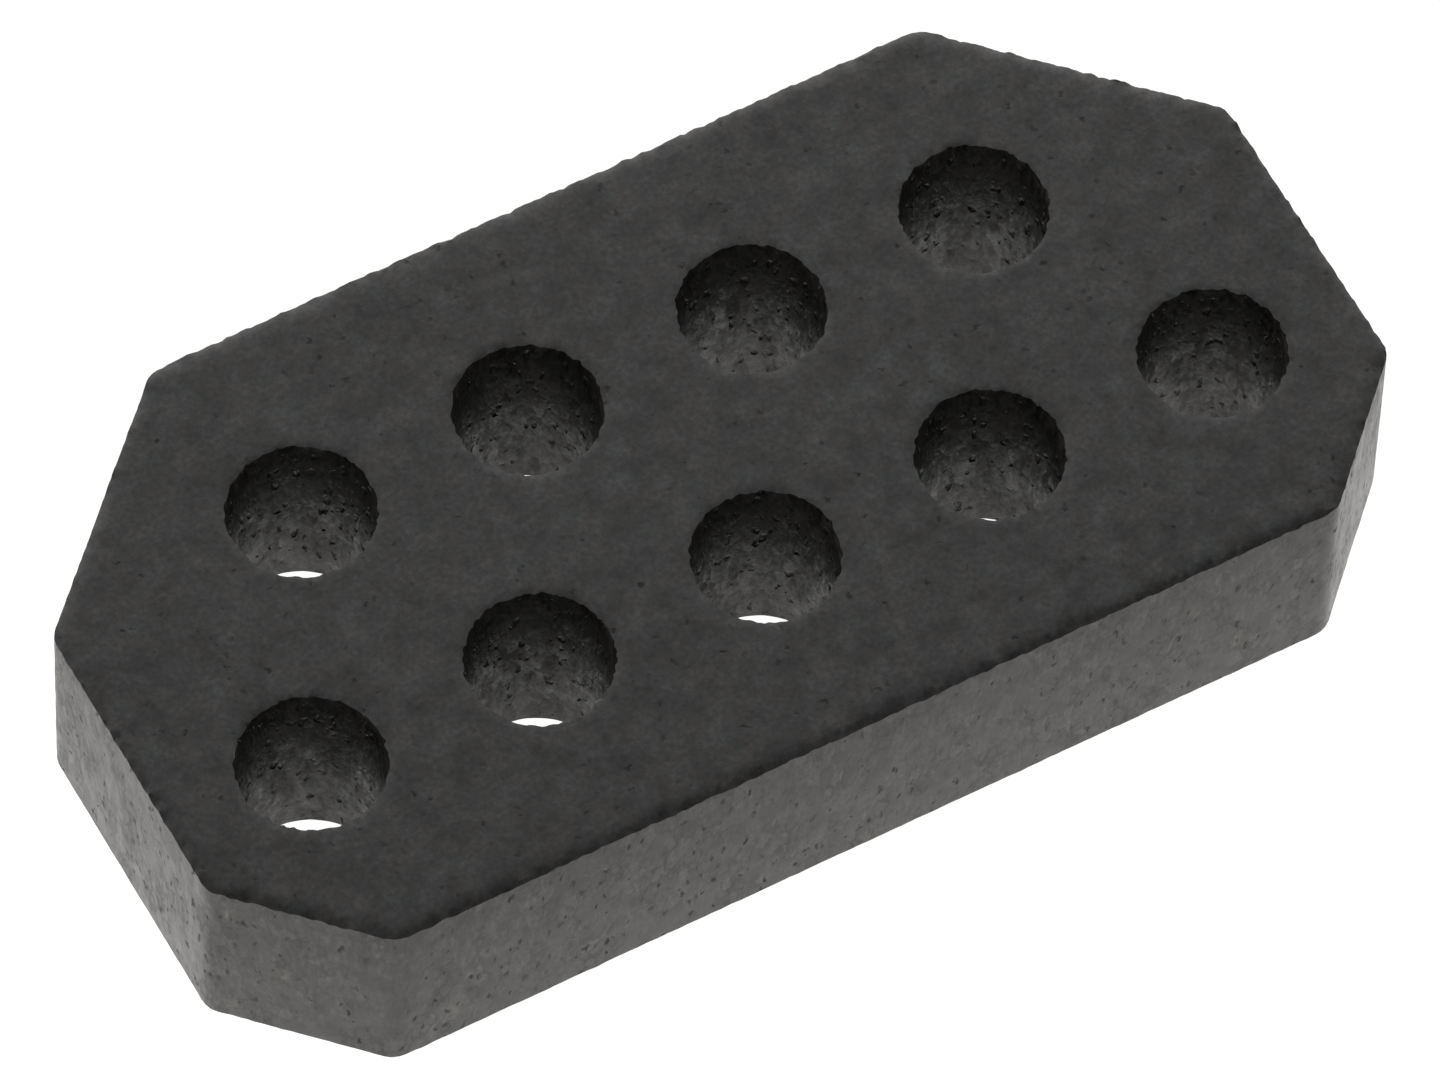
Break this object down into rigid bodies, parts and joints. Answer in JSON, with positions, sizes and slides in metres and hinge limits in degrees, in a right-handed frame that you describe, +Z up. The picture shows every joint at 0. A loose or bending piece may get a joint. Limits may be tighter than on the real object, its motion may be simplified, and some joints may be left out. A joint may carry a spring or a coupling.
{
  "type": "multi-hole ferrite plate",
  "caption": "Flat dark grey ferrite plate with cut corners and staggered rows of round holes; it slips over the pins of a connector and damps electrical noise.",
  "frame": {"origin": "centre of the underside, in the middle of the plate's length and width", "axes": "+X along the rows of holes, +Y towards the shorter row, +Z up along the holes"},
  "size_m": [0.0146, 0.0076, 0.0026],
  "materials": {
    "ferrite": "matte dark grey sintered ferrite with fine open pores"
  },
  "bodies": {
    "root": {"ferrite_plate": "ferrite"}
  },
  "joints": []
}
